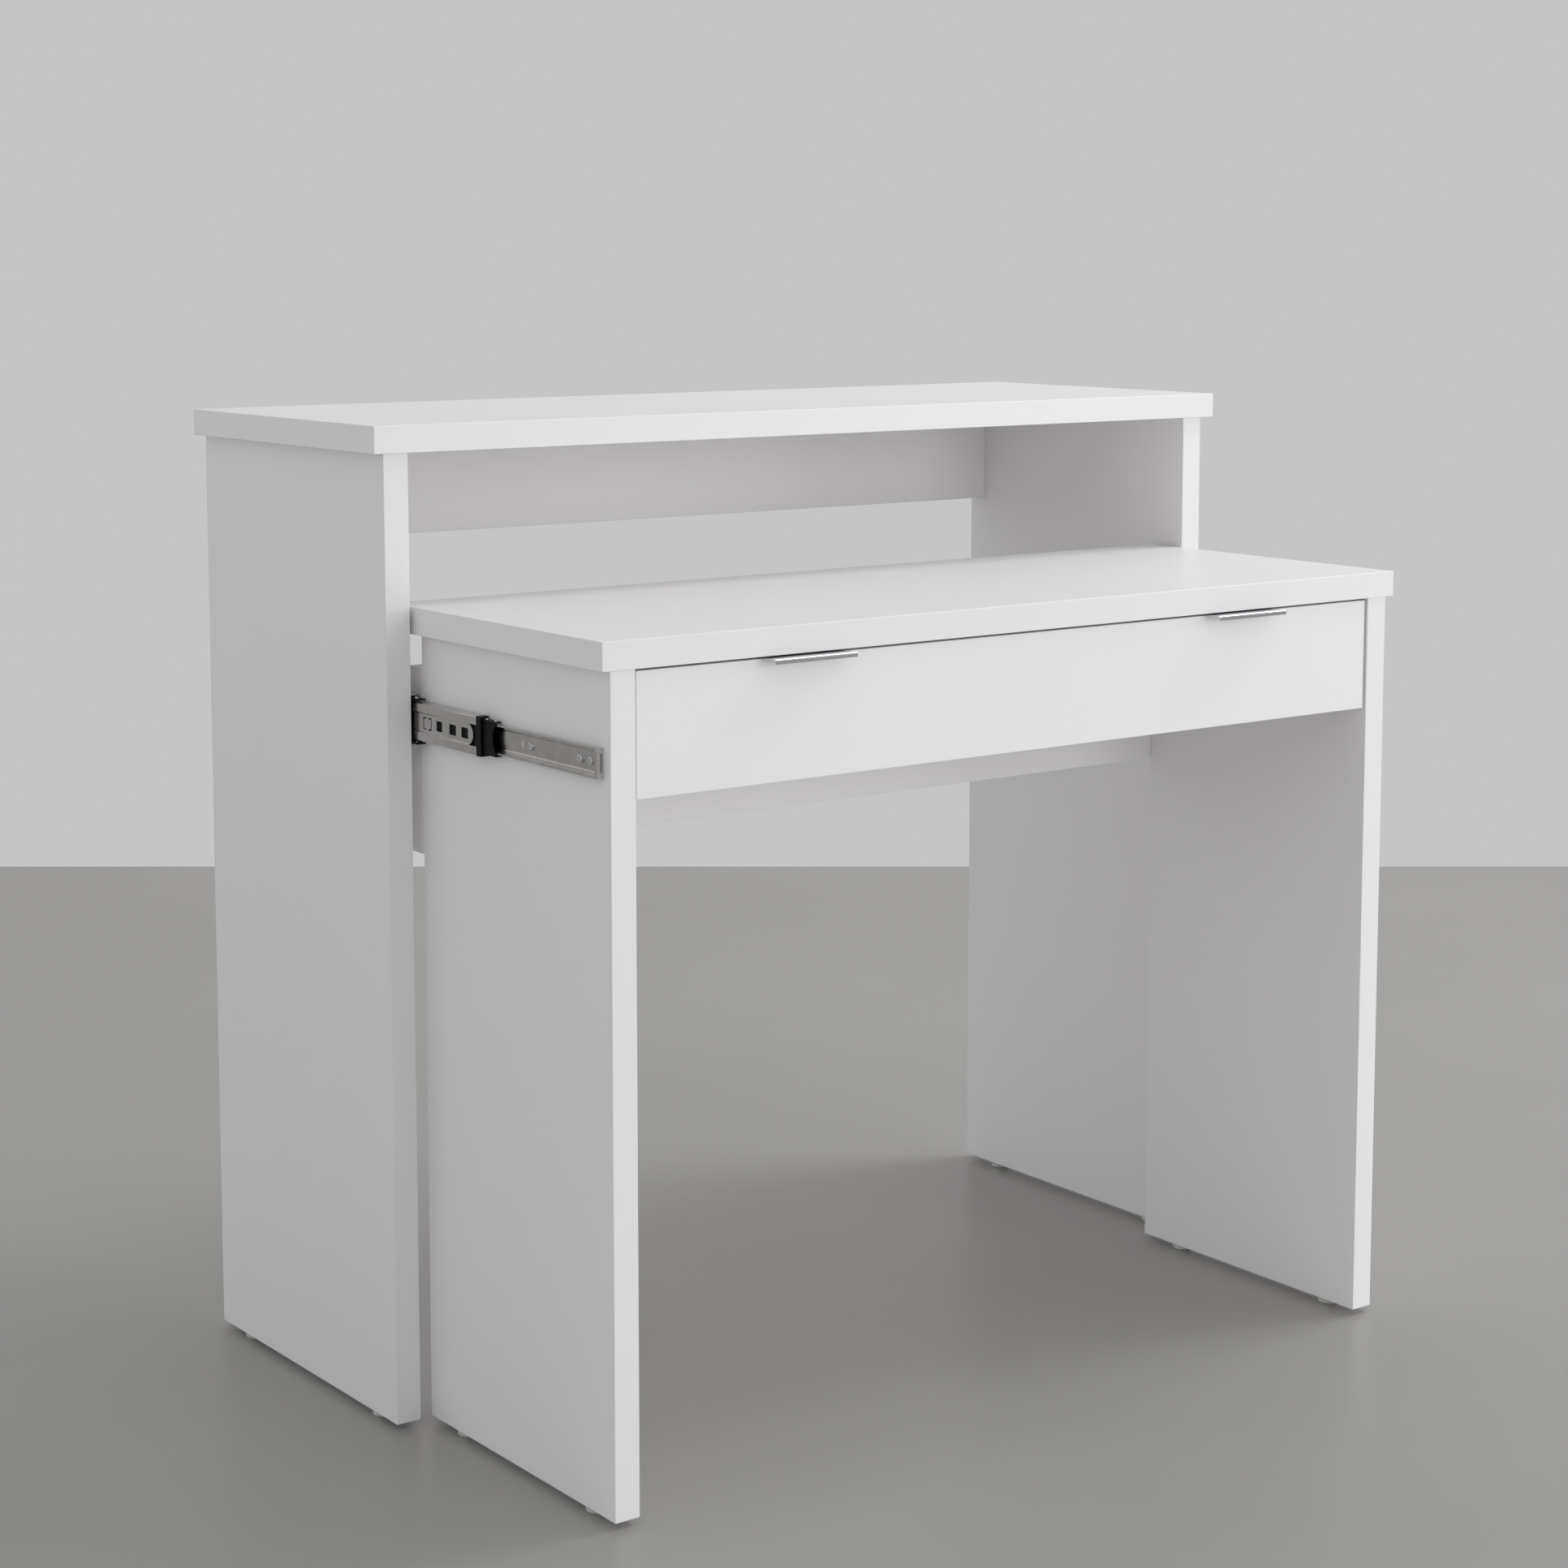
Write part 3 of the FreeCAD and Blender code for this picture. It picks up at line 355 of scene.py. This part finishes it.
def white_board(name, low, high, groups):
    """Melamine-faced chipboard: satin white skin, banded edges, and chipboard in its bores."""
    material, tree, shader, place = start_material(name)
    half = (high - low) / 2
    thin = min(range(len(half)), key=lambda axis: half[axis])
    thin_way = Vector()
    thin_way[thin] = BEYOND_ANY_DEPTH
    layers = put(tree, "ShaderNodeGroup", {"Place": place, "Middle": (low + high) / 2,
                                           "Half size": half, "Thin way": thin_way},
                 node_tree=groups["board"]).outputs
    height, cloud = lay_skin(tree, place, WHITE_FACE_GRAIN, WHITE_FACE_CLOUD, groups)
    face = blend_colours(tree, cloud, *WHITE_FACE_TONES)
    seam = reckon(tree, "MULTIPLY", layers["Seam"], SEAM_STRENGTH)
    face = blend_colours(tree, seam, face, SEAM_COLOUR)
    chips = put(tree, "ShaderNodeTexVoronoi", {"Vector": place, "Scale": 1 / CHIP_SIZE})
    chip = put(tree, "ShaderNodeSeparateColor", {"Color": chips.outputs["Color"]}).outputs["Red"]
    core = blend_colours(tree, chip, *CHIPBOARD_TONES)
    tree.links.new(blend_colours(tree, layers["Core"], face, core), shader.inputs["Base Color"])
    satin = between(tree, cloud, *WHITE_FACE_SPAN, *WHITE_FACE_ROUGHNESS)
    rough = reckon(tree, "MULTIPLY_ADD", layers["Core"], CHIPBOARD_ADDED_ROUGHNESS, satin)
    tree.links.new(rough, shader.inputs["Roughness"])
    raise_surface(tree, shader, height, WHITE_FACE_RELIEF)
    return material


def thin_panel(groups):
    """White-faced hardboard with a faint fibrous grain."""
    material, tree, shader, place = start_material("thin white panel")
    height, cloud = lay_skin(tree, place, THIN_PANEL_GRAIN, THIN_PANEL_CLOUD, groups)
    tree.links.new(blend_colours(tree, cloud, *THIN_PANEL_TONES), shader.inputs["Base Color"])
    tree.links.new(between(tree, cloud, *THIN_PANEL_SPAN, *THIN_PANEL_ROUGHNESS),
                   shader.inputs["Roughness"])
    raise_surface(tree, shader, height, THIN_PANEL_RELIEF)
    return material


def metal(groups, name, tones, roughness, squeeze, line_width, line_depth, patch_size):
    """Metal with fine lines that run one way and a slow patchiness in tone and gloss."""
    material, tree, shader, place = start_material(name)
    shader.inputs["Metallic"].default_value = 1.0
    streak, patch = draw_lines(tree, place, squeeze, line_width, patch_size, groups)
    patch_part = reckon(tree, "MULTIPLY", patch, 1 - STREAK_SHARE)
    share = reckon(tree, "MULTIPLY_ADD", streak, STREAK_SHARE, patch_part)
    colour_surface(tree, shader, between(tree, share, *METAL_SPAN), tones, roughness)
    raise_surface(tree, shader, streak, line_depth)
    return material


def plastic(groups, name, tones, roughness, shine, grain, relief):
    """Moulded plastic with a fine grain and slightly uneven gloss."""
    material, tree, shader, place = start_material(name)
    shader.inputs["Specular IOR Level"].default_value = shine
    height, cloud = lay_skin(tree, place, grain, PLASTIC_CLOUD, groups)
    colour_surface(tree, shader, between(tree, cloud, *PLASTIC_SPAN), tones, roughness)
    raise_surface(tree, shader, height, relief)
    return material


def beech(groups):
    """Dowel wood: fine veins along the grain."""
    material, tree, shader, place = start_material("beech")
    streak, _ = draw_lines(tree, place, BEECH_SQUEEZE, BEECH_VEIN, BEECH_PATCH, groups)
    colour_surface(tree, shader, between(tree, streak, *BEECH_SPAN), BEECH_TONES,
                   BEECH_ROUGHNESS)
    raise_surface(tree, shader, streak, BEECH_RELIEF)
    return material


def floor_finish(groups):
    """Grey polished floor with faint clouds, which throws light back as a paler floor does."""
    material, tree, shader, place = start_material("floor grey")
    height, cloud = lay_skin(tree, place, FLOOR_GRAIN, FLOOR_CLOUD, groups)
    share = between(tree, cloud, *FLOOR_SPAN)
    path = tree.nodes.new("ShaderNodeLightPath").outputs
    seen = reckon(tree, "ADD", path["Is Camera Ray"], path["Is Glossy Ray"], clamp=True)
    look = blend_colours(tree, share, *FLOOR_TONES)
    tree.links.new(blend_colours(tree, seen, FLOOR_BOUNCE, look), shader.inputs["Base Color"])
    tree.links.new(between(tree, share, 0.0, 1.0, *FLOOR_ROUGHNESS), shader.inputs["Roughness"])
    raise_surface(tree, shader, height, FLOOR_RELIEF)
    return material


def finish_pieces(frame, groups):
    """Every CAD node takes the finish of its material slot; each board has one of its own."""
    finishes = {"thin_panel": thin_panel(groups), "beech_dowel": beech(groups)}
    for slot, values in METALS.items():
        finishes[slot] = metal(groups, **values)
    for slot, values in PLASTICS.items():
        finishes[slot] = plastic(groups, **values)
    for part in frame["record"]["subparts"]:
        name = part["node"]
        slot = part["material_slot"]
        if slot == "white_board":
            finish = white_board("board " + name, *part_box(name), groups)
        else:
            finish = finishes[slot]
        materials = frame["nodes"][name].data.materials
        materials.clear()
        materials.append(finish)


def lay_floor(groups):
    """A level floor that ends in a straight line behind the object, seen from the camera."""
    ahead = Vector((math.sin(CAMERA_TURN), math.cos(CAMERA_TURN), 0))
    aside = Vector((ahead.y, -ahead.x, 0))
    foot = Vector(CAMERA_PLACE)
    foot.z = 0
    far = foot + ahead * FLOOR_END
    near = far - ahead * FLOOR_REACH
    corners = [far + aside * FLOOR_REACH, far - aside * FLOOR_REACH,
               near - aside * FLOOR_REACH, near + aside * FLOOR_REACH]
    mesh = bpy.data.meshes.new("floor")
    mesh.from_pydata(corners, [], [range(len(corners))])
    floor = bpy.data.objects.new("floor", mesh)
    mesh.materials.append(floor_finish(groups))
    bpy.context.scene.collection.objects.link(floor)


def light_sky():
    """Even light from all round, with a pale grey background for camera and mirror rays."""
    world = bpy.data.worlds.new("studio")
    bpy.context.scene.world = world
    world.use_nodes = True
    tree = world.node_tree
    tree.nodes.clear()
    path = tree.nodes.new("ShaderNodeLightPath").outputs
    seen = reckon(tree, "ADD", path["Is Camera Ray"], path["Is Glossy Ray"])
    seen = reckon(tree, "ADD", seen, path["Is Transmission Ray"], clamp=True)
    light = put(tree, "ShaderNodeBackground", {"Color": SKY, "Strength": SKY_STRENGTH})
    backdrop = put(tree, "ShaderNodeBackground", {"Color": BACKGROUND})
    mix = put(tree, "ShaderNodeMixShader",
              dict(enumerate((seen, light.outputs[0], backdrop.outputs[0]))))
    put(tree, "ShaderNodeOutputWorld", {"Surface": mix.outputs[0]})


def hang_lamp(name, place, side, power, mirrored):
    """One soft square lamp, turned to face the middle of the object."""
    lamp = bpy.data.lights.new(name, "AREA")
    lamp.size = side
    lamp.energy = power
    holder = bpy.data.objects.new(name, lamp)
    holder.location = place
    holder.visible_glossy = mirrored
    aim = Vector(LAMP_TARGET) - Vector(place)
    holder.rotation_euler = aim.to_track_quat("-Z", "Y").to_euler()
    bpy.context.scene.collection.objects.link(holder)


def set_camera():
    """The photograph's viewpoint."""
    camera = bpy.data.cameras.new("camera")
    camera.sensor_width = CAMERA_SENSOR
    camera.lens = CAMERA_LENS
    camera.shift_y = CAMERA_SHIFT
    holder = bpy.data.objects.new("camera", camera)
    holder.location = CAMERA_PLACE
    holder.rotation_euler = (math.pi / 2 - CAMERA_TILT, 0, -CAMERA_TURN)
    bpy.context.scene.collection.objects.link(holder)
    bpy.context.scene.camera = holder


def main():
    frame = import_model()
    groups = {"skin": skin_group(), "streak": streak_group(), "board": board_group()}
    finish_pieces(frame, groups)
    lay_floor(groups)
    light_sky()
    for name, values in LAMPS.items():
        hang_lamp(name, **values)
    set_camera()
    bpy.context.scene.view_settings.view_transform = "Standard"


main()
